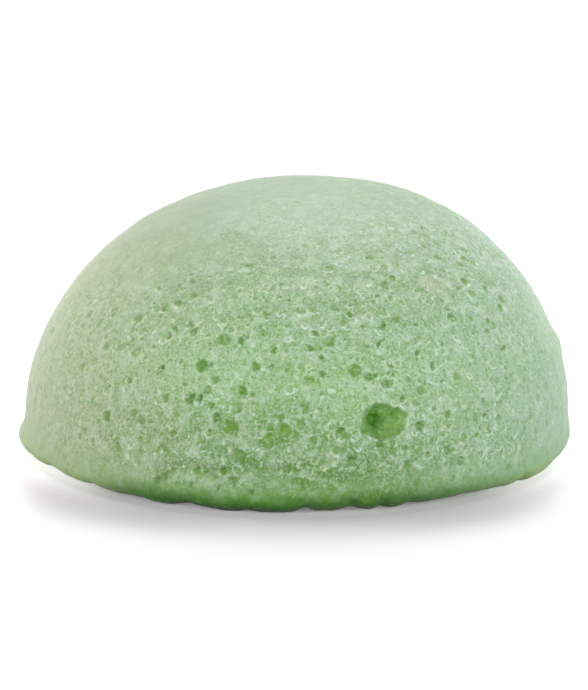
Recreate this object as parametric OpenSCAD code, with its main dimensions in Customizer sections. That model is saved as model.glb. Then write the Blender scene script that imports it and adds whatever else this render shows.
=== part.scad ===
// Half-ball konjac sponge for washing the face, standing on its flat side.
// Millimetres. Origin at the middle of the underside, +Z up, the big burst bubble faces -Y.
// One casting of foamed, set konjac gel in three zones that meet face to face:
// the open-celled core, the finer dome skin that set against the bowl, and the base skin
// with the rolled brim that rose over the bowl's edge.

/* [Dome] */
// Width of the dome at the brim line
dome_d = 80; // [60:1:110]
// Height of the crown above the underside
crown_h = 38.5; // [26:0.5:55]
// Fullness of the flanks, where 2 is an ellipse and more is fuller
flank_power = 2.2; // [1.8:0.05:2.8]
// Fullness of the crown, where 2 is an ellipse and more is fuller
crown_power = 1.95; // [1.6:0.05:2.6]
// Thickness of the skin over the dome
dome_skin_t = 1.2; // [0.8:0.1:2.5]

/* [Base and brim] */
// Thickness of the skin over the underside
base_skin_t = 1.5; // [1:0.1:3]
// Height of the brim line, where the dome skin sits on the brim
brim_h = 5; // [3.5:0.1:9]
// How far the rolled brim stands proud of the dome
brim_proud = 0.4; // [0.1:0.1:1.5]
// How far the bottom edge tucks in under the brim
edge_tuck = 2.5; // [1:0.1:5]
// Height of the bottom edge's rounding
edge_rise = 1.8; // [0.6:0.1:3]

/* [Burst bubbles] */
// How many burst bubbles are spread over the dome skin
bubble_count = 110; // [20:1:180]
// Width of the smallest burst bubble
bubble_min_d = 1.1; // [0.8:0.1:1.6]
// Width of the largest burst bubble
bubble_max_d = 2.1; // [1.7:0.1:3]
// Width of the largest of the bubbles on the front
front_bubble_d = 2.4; // [1.6:0.1:3.4]
// How many burst bubbles are spread over the underside
base_bubble_count = 36; // [6:1:60]
// Width of the burst bubbles in the underside
base_bubble_d = 1.4; // [0.8:0.1:1.9]
// Radius of the middle of the underside that has no bubbles
base_clear_r = 14; // [8:0.5:20]

/* [Big burst bubble] */
// Width of the main hollow of the big burst bubble
pit_d = 4.2; // [2.5:0.1:7]
// Width of the deep hole at its left
pit_hole_d = 1.7; // [0.8:0.1:2.4]
// How far the deep hole is sunk under the surface
pit_hole_sink = 1.9; // [0.5:0.1:3.5]

/* [Hidden] */
dome_r = dome_d / 2;
brim_r = dome_r + brim_proud;
// Steps along the dome's outline and along each curve of the brim
dome_steps = 26;
edge_steps = 8;
$fn = 24;
// The turn between neighbours that spreads places evenly round a middle
golden_turn = 180 * (3 - sqrt(5));
// Lowest rise, in degrees, of the bubbles that are spread over the dome
lowest_rise = 5;
// How far, in degrees, a spread bubble strays from its even place
stray = 4;
bubble_seed = 11;
size_seed = 23;
base_seed = 37;

// Bubbles on the front: bearing from the front towards +X and rise from the brim line, both
// in degrees, then the share of front_bubble_d
front_places_and_shares = [
    [-18, 53, 0.8], [-25, 43, 0.7], [-19, 32, 0.9], [-22, 26, 0.9], [-28, 36, 0.6],
    [-29, 18, 0.65], [-20, 21, 0.6], [-12, 21, 0.7], [-13, 17, 0.7], [-14, 12.5, 0.95],
    [-3, 12, 0.9], [-6, 9, 0.7], [-12, 5.5, 1], [-20, 9, 0.7], [-34, 12, 0.7],
    [-43, 11, 0.7], [-5, 40, 0.6], [-13, 48, 0.5], [0, 41, 0.8], [-10, 27, 0.65],
    [21, 40, 0.8], [8.5, 41, 0.7], [19, 22.5, 0.8], [26.5, 20, 0.65], [36, 22, 0.6],
    [2, 24, 0.7], [1, 17, 0.7], [0.5, 13.5, 0.6], [3, 9.5, 0.6], [12, 26, 0.9],
    [19, 48, 0.6], [6.5, 33, 0.8], [8.5, 7, 0.6], [-19, 44, 0.6]
];
// Hollows that make up the big burst bubble: bearing, rise, then the share of pit_d
pit_places_and_shares = [
    [17.4, 13.3, 1], [15.2, 13.7, 0.7], [20, 12.8, 0.76], [16.4, 10.8, 0.56]
];
// Bearing and rise of the deep hole
pit_hole_place = [14.9, 13.4];

// Radius and height on the dome's outline at a rise in degrees, set in by a depth
function dome_point(rise, depth) = [
    (dome_r - depth) * pow(cos(rise), 2 / flank_power),
    brim_h + (crown_h - brim_h - depth) * pow(sin(rise), 2 / crown_power)
];

// Outline of the dome from the brim line to the crown, set in by a depth
function dome_outline(depth) =
    [for (i = [0:dome_steps]) dome_point(90 * i / dome_steps, depth)];

// Outline of the rounded bottom edge and the rolled brim above it
function edge_outline() = [
    for (i = [0:edge_steps]) let (turn = 90 * i / edge_steps)
        [brim_r - edge_tuck * (1 - sin(turn)), edge_rise * (1 - cos(turn))]
];
function brim_outline() = [
    for (i = [1:edge_steps]) let (turn = 90 * i / edge_steps)
        [dome_r + brim_proud * cos(turn), edge_rise + (brim_h - edge_rise) * sin(turn)]
];

// Bearing and rise of one of a number of bubbles, spread evenly over the dome with some stray
function spread_place(i, count, strays) = [
    i * golden_turn + strays[2 * i],
    max(lowest_rise, asin((i + 0.5) / count) + strays[2 * i + 1])
];

// A burst bubble at a bearing and a rise, sunk under the dome's surface by a depth
module bubble(place, d, depth = 0) {
    seat = dome_point(place[1], depth);
    rotate([0, 0, place[0]]) translate([0, -seat[0], seat[1]]) sphere(d = d);
}

// The bubbles spread over the dome that reach deeper than a given depth
module spread_bubbles(deeper_than) {
    strays = rands(-stray, stray, 2 * bubble_count, bubble_seed);
    widths = rands(bubble_min_d, bubble_max_d, bubble_count, size_seed);
    for (i = [0:bubble_count - 1])
        if (widths[i] / 2 > deeper_than)
            bubble(spread_place(i, bubble_count, strays), widths[i]);
}

// The bubbles on the front that reach deeper than a given depth
module front_bubbles(deeper_than) {
    for (place = front_places_and_shares)
        if (place[2] * front_bubble_d / 2 > deeper_than)
            bubble(place, place[2] * front_bubble_d);
}

// The big burst bubble with its deep hole
module pit() {
    for (place = pit_places_and_shares) bubble(place, place[2] * pit_d);
    bubble(pit_hole_place, pit_hole_d, pit_hole_sink);
}

// All that is hollow in the dome below a given depth
module hollows(deeper_than) {
    spread_bubbles(deeper_than);
    front_bubbles(deeper_than);
    pit();
}

// Burst bubbles in a ring round the middle of the underside
module base_bubbles() {
    strays = rands(-stray, stray, base_bubble_count, base_seed);
    ring_r = dome_r - edge_tuck - base_bubble_d;
    for (i = [0:base_bubble_count - 1]) {
        share = (i + 0.5) / base_bubble_count;
        seat_r = sqrt(pow(base_clear_r, 2) * (1 - share) + pow(ring_r, 2) * share);
        rotate([0, 0, i * golden_turn + strays[i]])
            translate([seat_r, 0, 0]) sphere(d = base_bubble_d);
    }
}

// Open-celled foam inside the skins
module foam_core() {
    floor_points = [[0, base_skin_t], [dome_r - dome_skin_t, base_skin_t]];
    color("#a3c795") difference() {
        rotate_extrude() polygon(concat(floor_points, dome_outline(dome_skin_t)));
        hollows(dome_skin_t);
    }
}

// Finer-pored skin that set against the bowl, from the brim line to the crown
module dome_skin() {
    inner = dome_outline(dome_skin_t);
    inner_down = [for (i = [len(inner) - 1:-1:0]) inner[i]];
    color("#b4cfa6") difference() {
        rotate_extrude() polygon(concat(dome_outline(0), inner_down));
        hollows(0);
    }
}

// Skin over the flat underside with the rolled brim round it
module base_skin() {
    inner_r = dome_r - dome_skin_t;
    seat = [[inner_r, brim_h], [inner_r, base_skin_t], [0, base_skin_t]];
    color("#8fb37a") difference() {
        rotate_extrude() polygon(concat([[0, 0]], edge_outline(), brim_outline(), seat));
        base_bubbles();
    }
}

foam_core();
dome_skin();
base_skin();
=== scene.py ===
"""A half-ball konjac sponge: damp, pale green, open-celled foam on its flat side."""

import logging
import math
from dataclasses import dataclass
from enum import Enum

import bpy
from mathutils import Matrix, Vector


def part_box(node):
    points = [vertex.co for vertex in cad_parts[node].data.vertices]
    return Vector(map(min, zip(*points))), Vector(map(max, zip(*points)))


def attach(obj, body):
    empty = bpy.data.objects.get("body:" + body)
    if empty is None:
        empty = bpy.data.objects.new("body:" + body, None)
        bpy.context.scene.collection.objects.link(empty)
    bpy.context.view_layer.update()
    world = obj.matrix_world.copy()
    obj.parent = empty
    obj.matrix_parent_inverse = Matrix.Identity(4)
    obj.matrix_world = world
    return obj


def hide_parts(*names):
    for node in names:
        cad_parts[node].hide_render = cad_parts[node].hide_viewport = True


LOG = logging.getLogger("sponge")
MM = 0.001

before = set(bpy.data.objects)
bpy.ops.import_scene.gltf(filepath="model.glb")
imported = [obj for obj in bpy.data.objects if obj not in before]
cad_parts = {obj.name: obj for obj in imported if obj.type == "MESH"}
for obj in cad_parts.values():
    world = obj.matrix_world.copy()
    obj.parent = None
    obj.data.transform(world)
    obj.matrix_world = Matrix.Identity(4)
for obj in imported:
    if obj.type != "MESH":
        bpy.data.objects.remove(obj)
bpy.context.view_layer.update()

Colour = tuple[float, float, float, float]
# The middle and the width of a smooth hump
Hump = tuple[float, float]
Socket = bpy.types.NodeSocket


def srgb(red: int, green: int, blue: int) -> Colour:
    """Turns a colour as a screen shows it into the linear colour that a shader takes.

    Args:
        red: Red, from 0 to 255.
        green: Green, from 0 to 255.
        blue: Blue, from 0 to 255.

    Returns:
        The linear colour, opaque.
    """
    def linear(value: int) -> float:
        """Gives one channel's linear value."""
        share = value / 255
        return share / 12.92 if share <= 0.04045 else ((share + 0.055) / 1.055) ** 2.4

    return (linear(red), linear(green), linear(blue), 1.0)


WHITE = (1.0, 1.0, 1.0, 1.0)
WEB = srgb(232, 250, 236)
HAZE = srgb(212, 230, 208)
# Olive: the painted shade in the fold's groove, and the colour of the pores low on the dome
CREASE = srgb(96, 130, 44)
PORE = srgb(106, 160, 56)
# Dark green: painted shade under bubble lips and deep in hollows, and the colour of the random dark grit and
# spots
DARK_GREEN_AND_SHADE = srgb(74, 122, 38)
BEIGE = srgb(206, 204, 174)
MINT = srgb(180, 215, 190)


class Slot(Enum):
    """The record's material slots for the zones of the sponge."""

    CORE = "core_foam"
    DOME = "dome_foam"
    BASE = "base_foam"


class Stored(Enum):
    """The values that the pitting stores on the mesh for the material."""

    PLACE = "skin_place"
    DEPTH = "pore_depth"
    OPENNESS = "openness"
    FOLD = "fold"


@dataclass(frozen=True)
class Ramp:
    """A smooth step from one level to another.

    Attributes:
        start: Where the step starts.
        end: Where the step ends, which may be below its start.
        low: The level at the start.
        high: The level at the end.
    """

    start: float
    end: float
    low: float = 0.0
    high: float = 1.0


@dataclass(frozen=True)
class Patches:
    """Soft random patches: noise that is taken through a ramp.

    Attributes:
        cell: About how wide a patch is, in metres.
        detail: How many times the noise is refined.
        ramp: The levels over the noise, which goes from -0.5 to 0.5 or so.
    """

    cell: float
    detail: float
    ramp: Ramp


@dataclass
class NodeSheet:
    """Adds nodes to a node tree and joins them up."""

    tree: bpy.types.NodeTree

    def feed(self, socket: Socket, value: object) -> None:
        """Links a socket to another one, or sets its own value.

        Args:
            socket: The input to feed.
            value: An output socket, or a plain value.
        """
        if isinstance(value, Socket):
            self.tree.links.new(value, socket)
        else:
            socket.default_value = value

    def add(self, kind: str, feeds: dict | None = None, **settings: object) -> bpy.types.Node:
        """Adds a node.

        Args:
            kind: The node's type name.
            feeds: Input names or numbers, each with what feeds it.
            **settings: The node's own settings.

        Returns:
            The new node.
        """
        node = self.tree.nodes.new(kind)
        for name, value in settings.items():
            setattr(node, name, value)
        for name, value in (feeds or {}).items():
            self.feed(node.inputs[name], value)
        return node

    def math(self, operation: str, *values: object, clamp: bool = False) -> Socket:
        """Adds a Math node, held from 0 to 1 if clamped, and gives its result."""
        feeds = dict(enumerate(values))
        return self.add("ShaderNodeMath", feeds, operation=operation, use_clamp=clamp).outputs[0]

    def times(self, *factors: object) -> Socket:
        """Gives the product of two or more factors."""
        product = factors[0]
        for factor in factors[1:]:
            product = self.math("MULTIPLY", product, factor)
        return product

    def total(self, *parts: object) -> Socket:
        """Gives the sum of two or more parts."""
        whole = parts[0]
        for part in parts[1:]:
            whole = self.math("ADD", whole, part)
        return whole

    def fit(self, value: object, factor: object, base: object) -> Socket:
        """Gives a value times a factor, plus a base."""
        return self.math("MULTIPLY_ADD", value, factor, base)

    def gap(self, value: object, middle: object) -> Socket:
        """Gives how far a value is from a middle, either way."""
        return self.math("ABSOLUTE", self.math("SUBTRACT", value, middle))

    def bell(self, value: object, hump: Hump) -> Socket:
        """Gives a smooth hump over a value, which is 1 at its middle and fades over its width."""
        off = self.math("DIVIDE", self.math("SUBTRACT", value, hump[0]), hump[1])
        return self.math("EXPONENT", self.times(off, off, -1.0))

    def vector(self, operation: str, *values: object) -> Socket:
        """Adds a Vector Math node and gives its vector."""
        feeds = dict(enumerate(values))
        return self.add("ShaderNodeVectorMath", feeds, operation=operation).outputs["Vector"]

    def measure(self, operation: str, *values: object) -> Socket:
        """Adds a Vector Math node and gives the number that it measures."""
        feeds = dict(enumerate(values))
        return self.add("ShaderNodeVectorMath", feeds, operation=operation).outputs["Value"]

    def scaled(self, vector: object, factor: object) -> Socket:
        """Scales a vector by a factor and gives it."""
        feeds = {0: vector, "Scale": factor}
        return self.add("ShaderNodeVectorMath", feeds, operation="SCALE").outputs["Vector"]

    def split(self, vector: object) -> list[Socket]:
        """Gives a vector's three parts."""
        return list(self.add("ShaderNodeSeparateXYZ", {0: vector}).outputs)

    def join(self, x: object, y: object, z: object) -> Socket:
        """Gives the vector of three parts."""
        return self.add("ShaderNodeCombineXYZ", {0: x, 1: y, 2: z}).outputs[0]

    def ramp(self, value: object, ramp: Ramp) -> Socket:
        """Gives the level of a ramp.

        Args:
            value: What is measured.
            ramp: The levels over it.

        Returns:
            The level's output.
        """
        ends = (ramp.start, ramp.end, ramp.low, ramp.high)
        if ramp.start > ramp.end:
            ends = (ramp.end, ramp.start, ramp.high, ramp.low)
        feeds = dict(enumerate((value, *ends)))
        return self.add("ShaderNodeMapRange", feeds, interpolation_type="SMOOTHSTEP").outputs[0]

    def noise(self, vector: object, cell: float, detail: float = 2.0) -> Socket:
        """Gives noise about 0, from -0.5 to 0.5 or so, whose lumps are about a cell wide."""
        feeds = {"Vector": vector, "Scale": 1 / cell, "Detail": detail}
        made = self.add("ShaderNodeTexNoise", feeds, noise_dimensions="3D")
        return self.math("SUBTRACT", made.outputs[0], 0.5)

    def patches(self, place: object, look: Patches) -> Socket:
        """Gives the level of soft random patches at a point."""
        return self.ramp(self.noise(place, look.cell, look.detail), look.ramp)

    def webs(self, vector: object, cell: float) -> Socket:
        """Gives the distance to the nearest web of a foam whose cells are about a cell wide."""
        feeds = {"Vector": vector, "Scale": 1 / cell}
        made = self.add("ShaderNodeTexVoronoi", feeds, feature="DISTANCE_TO_EDGE")
        return self.math("MULTIPLY", made.outputs["Distance"], cell)

    def coated(self, colour: object, *coats: tuple[object, object]) -> Socket:
        """Lays colours over a colour, one after the other.

        Args:
            colour: The colour underneath.
            *coats: How much of each coat there is, from 0 to 1, and its colour.

        Returns:
            The colour's output.
        """
        for share, coat in coats:
            feeds = {"Factor": share, 6: colour, 7: coat}
            colour = self.add("ShaderNodeMix", feeds, data_type="RGBA").outputs[2]
        return colour


@dataclass(frozen=True)
class Crook:
    """A small random push, so that what follows runs crooked.

    Attributes:
        cell: About how wide a bend is.
        reach: About how far a point moves, at most.
    """

    cell: float
    reach: float

    def bent(self, sheet: NodeSheet, place: object) -> Socket:
        """Moves a point a little at random.

        Args:
            sheet: The nodes to add to.
            place: The point.

        Returns:
            The moved point.
        """
        feeds = {"Vector": place, "Scale": 1 / self.cell, "Detail": 2.0}
        swirl = sheet.add("ShaderNodeTexNoise", feeds, noise_dimensions="3D").outputs["Color"]
        aside = sheet.scaled(sheet.vector("SUBTRACT", swirl, (0.5, 0.5, 0.5)), self.reach * 2)
        return sheet.vector("ADD", place, aside)


@dataclass(frozen=True)
class BubbleLayer:
    """Burst bubbles that the foam's surface cuts open, strewn at random.

    Attributes:
        spacing: About how far apart the bubbles are, in metres.
        smallest: Radius of the smallest bubble.
        largest: Radius of the largest bubble.
        share: The share of the places that holds a bubble.
        tint: How green a bubble's inside is, from 0 to 1.
        rim: How pale a bubble's rim is, from 0 to 1.
        shift: Moves the pattern, so that two layers don't share places.
        faintest: How deep the faintest bubble is, as a share of its ball.
        stronger: How much more of its ball the strongest bubble shows.
    """

    spacing: float
    smallest: float
    largest: float
    share: float
    tint: float
    rim: float
    shift: float
    faintest: float = 0.3
    stronger: float = 0.7

    def cut(self, sheet: NodeSheet, place: object) -> tuple[Socket, ...]:
        """Finds the bubble that is nearest to a point.

        Args:
            sheet: The nodes to add to.
            place: The point on the skin.

        Returns:
            The distance to the bubble's middle, the bubble's radius, which is 0 for none, how
            strong its tint is, from 0 to 1, and how far above its middle the point is.
        """
        moved = sheet.vector("ADD", place, (self.shift, self.shift, self.shift))
        feeds = {"Vector": moved, "Scale": 1 / self.spacing}
        cells = sheet.add("ShaderNodeTexVoronoi", feeds, feature="F1")
        size, luck, strength = sheet.split(cells.outputs["Color"])
        radius = sheet.fit(size, self.largest - self.smallest, self.smallest)
        reach = sheet.times(cells.outputs["Distance"], self.spacing)
        held = sheet.times(radius, sheet.math("LESS_THAN", luck, self.share))
        above = sheet.split(sheet.vector("SUBTRACT", moved, cells.outputs["Position"]))[2]
        return reach, held, strength, above

    def hollow(self, sheet: NodeSheet, place: object) -> Socket:
        """Measures how deep the layer's bubbles are.

        Args:
            sheet: The nodes to add to.
            place: The point on the skin.

        Returns:
            The depth, in metres.
        """
        reach, radius, strength, _ = self.cut(sheet, place)
        left = sheet.math("SUBTRACT", sheet.times(radius, radius), sheet.times(reach, reach))
        deep = sheet.math("SQRT", sheet.math("MAXIMUM", left, 0.0))
        return sheet.times(deep, sheet.fit(strength, self.tint * self.stronger, self.faintest))


BUBBLE_CROOK = Crook(0.9 * MM, 0.5 * MM)
LAYERS = (
    BubbleLayer(1.9 * MM, 0.40 * MM, 0.85 * MM, 0.8, 1.0, 0.8, 0.11),
    BubbleLayer(1.2 * MM, 0.22 * MM, 0.42 * MM, 0.6, 0.8, 0.6, 0.37),
    BubbleLayer(1.6 * MM, 0.40 * MM, 0.70 * MM, 0.8, 0.2, 1.0, 0.23),
)


@dataclass(frozen=True)
class Skin:
    """What the foam's material reads at a point on the skin.

    Attributes:
        place: The point before the skin was pitted.
        x: How far it is to the right of the middle.
        z: How high it is.
        depth: How deep it is in one of the listed bubbles.
        openness: How open the cells are there, from 0 to 1.
        fold: The fold over the brim, from -1 in its groove to 1 on its ridge.
    """

    place: Socket
    x: Socket
    z: Socket
    depth: Socket
    openness: Socket
    fold: Socket


@dataclass(frozen=True)
class StrewnBubbles:
    """The look of the strewn bubbles: green insides, painted shade on their upper parts and pale broken
    rims, painted lighter on their lower sides.
    """

    tint_least: float = 0.35
    tint_more: float = 1.1
    wall: Ramp = Ramp(0.1 * MM, -0.35 * MM)
    painted_shade_under_lip: Ramp = Ramp(0.0, 0.8)
    mottle: Patches = Patches(0.5 * MM, 2.0, Ramp(-0.25, 0.12))
    rim_out: float = 0.06 * MM
    rim_fade: Ramp = Ramp(0.23 * MM, 0.0)
    rim_least: float = 0.6
    rim_more: float = 0.6
    # painted highlight: a rim is paler on its bubble's lower side, where light catches the lip
    lower_rim_highlight: Ramp = Ramp(0.9, -0.6, 0.5, 1.0)
    rim_parts: Patches = Patches(0.9 * MM, 1.0, Ramp(-0.08, 0.12))

    def marks(self, sheet: NodeSheet, place: object) -> tuple[Socket, ...]:
        """Finds the parts of the bubbles on the skin.

        Args:
            sheet: The material's nodes.
            place: The point on the skin before it was pitted.

        Returns:
            How far the point is inside a bubble, how much painted shade lies under a bubble's upper
            lip and how far it is on a rim, each from 0 to 1.
        """
        bent = BUBBLE_CROOK.bent(sheet, place)
        inside, shade, rim = 0.0, 0.0, 0.0
        for layer in LAYERS:
            reach, radius, strength, above = layer.cut(sheet, bent)
            over = sheet.math("SUBTRACT", reach, radius)
            there = sheet.math("GREATER_THAN", radius, 0.0)
            height = sheet.math("DIVIDE", above, radius)
            levels = (strength, self.tint_more * layer.tint, self.tint_least * layer.tint)
            tint = sheet.math("MULTIPLY_ADD", *levels, clamp=True)
            full = sheet.times(sheet.ramp(over, self.wall), tint, there)
            inside = sheet.math("MAXIMUM", inside, full)
            # painted shade: the upper part of each bubble is darkened, as if its overhanging lip shaded it
            upper = sheet.times(full, sheet.ramp(height, self.painted_shade_under_lip))
            shade = sheet.math("MAXIMUM", shade, upper)
            pale = sheet.fit(strength, self.rim_more, self.rim_least)
            bright = sheet.math("MULTIPLY", pale, layer.rim, clamp=True)
            near = sheet.ramp(sheet.gap(over, self.rim_out), self.rim_fade)
            # painted highlight on the rim's lower side
            edge = sheet.times(near, bright, sheet.ramp(height, self.lower_rim_highlight), there)
            rim = sheet.math("MAXIMUM", rim, edge)
        inside = sheet.times(inside, sheet.patches(place, self.mottle))
        return inside, shade, sheet.times(rim, sheet.patches(place, self.rim_parts))


@dataclass(frozen=True)
class Threads:
    """The pale crooked threads of the skin.

    Attributes:
        crook: How the threads are bent.
        strokes: Loose strokes: the cell, how far one reaches aside and how rare they are.
    """

    crook: Crook = Crook(1.2 * MM, 0.4 * MM)
    web_cell: float = 1.7 * MM
    web_parts: Patches = Patches(1.3 * MM, 1.0, Ramp(0.08, 0.2))
    width: float = 0.2 * MM
    least_width: float = 0.05 * MM
    swell_cell: float = 1.8 * MM
    swell: float = 1.6
    across: Ramp = Ramp(1.0, 0.0)
    strokes: tuple[tuple[float, float, float], ...] = ((1.5 * MM, 0.055, 0.08), (0.9 * MM, 0.08, 0.14))
    stroke_spread: float = 1.2
    stroke_fade: float = 0.12
    loudness: Patches = Patches(2.5 * MM, 3.0, Ramp(-0.2, 0.2, 0.4, 1.0))

    def lines(self, sheet: NodeSheet, place: object) -> Socket:
        """Finds the threads on the skin.

        Args:
            sheet: The material's nodes.
            place: The point on the skin before it was pitted.

        Returns:
            Where a thread is, from 0 to 1.
        """
        bent = self.crook.bent(sheet, place)
        swollen = sheet.fit(sheet.noise(place, self.swell_cell), self.swell, 1.0)
        thick = sheet.math("MAXIMUM", sheet.times(swollen, self.width), self.least_width)
        web = sheet.ramp(sheet.math("DIVIDE", sheet.webs(bent, self.web_cell), thick), self.across)
        lines = sheet.times(web, sheet.patches(place, self.web_parts))
        for cell, width, rarity in self.strokes:
            ridge = sheet.math("ABSOLUTE", sheet.noise(bent, cell, 0.0))
            parts = Patches(cell * self.stroke_spread, 0.0, Ramp(rarity, rarity + self.stroke_fade))
            stroke = sheet.times(sheet.ramp(ridge, Ramp(width, 0.0)), sheet.patches(place, parts))
            lines = sheet.math("MAXIMUM", lines, stroke)
        return sheet.times(lines, sheet.patches(place, self.loudness))


@dataclass(frozen=True)
class GroundTint:
    """The slow drift of the foam's colour from crown to brim and from side to side. Its deeper green low
    down is partly painted shade near the floor, and its paler far sides are partly painted sheen.
    """

    cell: Colour = srgb(166, 206, 142)
    top_cell: Colour = srgb(144, 170, 136)
    # deeper green low down and in the low middle of the front: partly the foam's own green, partly painted
    # shade near the floor
    low_green_and_shade: Colour = srgb(124, 170, 92)
    front_green_and_shade: Colour = srgb(97, 149, 54)
    brim_film: Colour = srgb(168, 204, 148)
    drift_cell: float = 14 * MM
    drift_up: float = 8 * MM
    drift_aside: float = 16 * MM
    to_top: Ramp = Ramp(16 * MM, 36 * MM)
    to_low: Ramp = Ramp(20 * MM, 4 * MM)
    middle_x: float = -4 * MM
    middle_width: Ramp = Ramp(30 * MM, 12 * MM)
    middle_height: Ramp = Ramp(18 * MM, 8 * MM)
    left: Ramp = Ramp(-8 * MM, -36 * MM, 0.0, 0.46)
    # paler towards the far sides: the foam's beige and mint, partly painted sheen where the sides turn away
    far_left_beige_and_sheen: Ramp = Ramp(-10 * MM, -40 * MM, 0.0, 0.36)
    far_right_mint_and_sheen: Ramp = Ramp(8 * MM, 38 * MM, 0.0, 0.6)
    minty: Patches = Patches(3.2 * MM, 3.0, Ramp(-0.08, 0.14))
    minty_aside: Ramp = Ramp(-20 * MM, 30 * MM, 0.25, 0.45)
    minty_loss: float = 0.6
    milky: Patches = Patches(5 * MM, 3.0, Ramp(-0.15, 0.15, 0.18, 0.48))
    film_top: Ramp = Ramp(7.5 * MM, 4 * MM)
    film_foot: Ramp = Ramp(0.5 * MM, 3.5 * MM)

    def colour(self, sheet: NodeSheet, skin: Skin) -> Socket:
        """Gives the drifting colour under all the rest.

        Args:
            sheet: The material's nodes.
            skin: What the material reads at the point.

        Returns:
            The colour's output.
        """
        drift = sheet.noise(skin.place, self.drift_cell)
        high = sheet.fit(drift, self.drift_up, skin.z)
        to_left = sheet.fit(drift, self.drift_aside, skin.x)
        middle = sheet.ramp(sheet.gap(skin.x, self.middle_x), self.middle_width)
        middle = sheet.times(middle, sheet.ramp(high, self.middle_height))
        minty = sheet.times(sheet.patches(skin.place, self.minty), sheet.ramp(skin.x, self.minty_aside))
        minty = sheet.times(minty, sheet.fit(middle, -self.minty_loss, 1.0), skin.openness)
        film = sheet.times(sheet.ramp(high, self.film_top), sheet.ramp(skin.z, self.film_foot))
        return sheet.coated(
            self.cell,
            (sheet.ramp(high, self.to_top), self.top_cell),
            (sheet.ramp(high, self.to_low), self.low_green_and_shade),
            (middle, self.front_green_and_shade),
            (sheet.ramp(to_left, self.left), BEIGE),
            (minty, MINT),
            # paler far sides: beige and mint, partly painted sheen
            (sheet.ramp(skin.x, self.far_left_beige_and_sheen), BEIGE),
            (sheet.ramp(skin.x, self.far_right_mint_and_sheen), MINT),
            (sheet.times(film, sheet.patches(skin.place, self.milky)), self.brim_film),
        )


@dataclass(frozen=True)
class EdgeTint:
    """The deep green along the bottom edge in front, which is partly painted shade, with a painted dark
    contact line, and the paler green beside it, which is painted light.
    """

    # painted light: a paler green along the sides of the bottom edge lifts the shade where the edge meets
    # the floor
    side_light_green: Colour = srgb(180, 216, 134)
    brim_green: Colour = srgb(108, 162, 54)
    # partly the foam's own deep green, partly painted shade where the edge turns under towards the floor
    edge_green_and_shade: Colour = srgb(50, 114, 2)
    # painted shade: a dark line where the front of the edge meets the floor
    contact_shade_green: Colour = srgb(24, 66, 0)
    wander_cell: float = 4 * MM
    wander: float = 1.4 * MM
    thinner: float = 0.4 * MM
    thin_from: Ramp = Ramp(-24 * MM, -12 * MM)
    thin_to: Ramp = Ramp(10 * MM, -4 * MM)
    front_from: Ramp = Ramp(-32 * MM, -18 * MM)
    front_to: Ramp = Ramp(38 * MM, 8 * MM)
    side_light_band: Ramp = Ramp(3.0 * MM, 0.6 * MM, 0.0, 0.8)
    brim_band: Ramp = Ramp(4.8 * MM, 2.2 * MM, 0.0, 0.5)
    edge_band: Ramp = Ramp(4.2 * MM, 0.9 * MM)
    contact_shade_band: Ramp = Ramp(1.7 * MM, 0.5 * MM)
    contact_shade_from: Ramp = Ramp(-19 * MM, -12 * MM)
    contact_shade_to: Ramp = Ramp(4 * MM, -4 * MM)
    line_least: float = 0.1
    line_more: float = 0.85

    def colour(self, sheet: NodeSheet, skin: Skin, cell: object) -> Socket:
        """Lays the bands of the bottom edge, with their painted shade and light, over the foam's colour.

        Args:
            sheet: The material's nodes.
            skin: What the material reads at the point.
            cell: The colour underneath.

        Returns:
            The colour's output.
        """
        thin = sheet.times(sheet.ramp(skin.x, self.thin_to), sheet.ramp(skin.x, self.thin_from))
        front = sheet.times(sheet.ramp(skin.x, self.front_from), sheet.ramp(skin.x, self.front_to))
        edge = sheet.fit(sheet.noise(skin.place, self.wander_cell, 3.0), self.wander, skin.z)
        edge = sheet.fit(thin, self.thinner, edge)
        line = sheet.times(sheet.ramp(skin.x, self.contact_shade_to), sheet.ramp(skin.x, self.contact_shade_from))
        line = sheet.times(front, sheet.fit(line, self.line_more, self.line_least))
        beside = sheet.math("SUBTRACT", 1.0, front)
        return sheet.coated(
            cell,
            # painted light along the sides of the bottom edge
            (sheet.times(sheet.ramp(edge, self.side_light_band), beside), self.side_light_green),
            (sheet.times(sheet.ramp(edge, self.brim_band), front), self.brim_green),
            (sheet.times(sheet.ramp(edge, self.edge_band), front), self.edge_green_and_shade),
            # painted contact shade
            (sheet.times(sheet.ramp(skin.z, self.contact_shade_band), line), self.contact_shade_green),
        )


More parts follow.
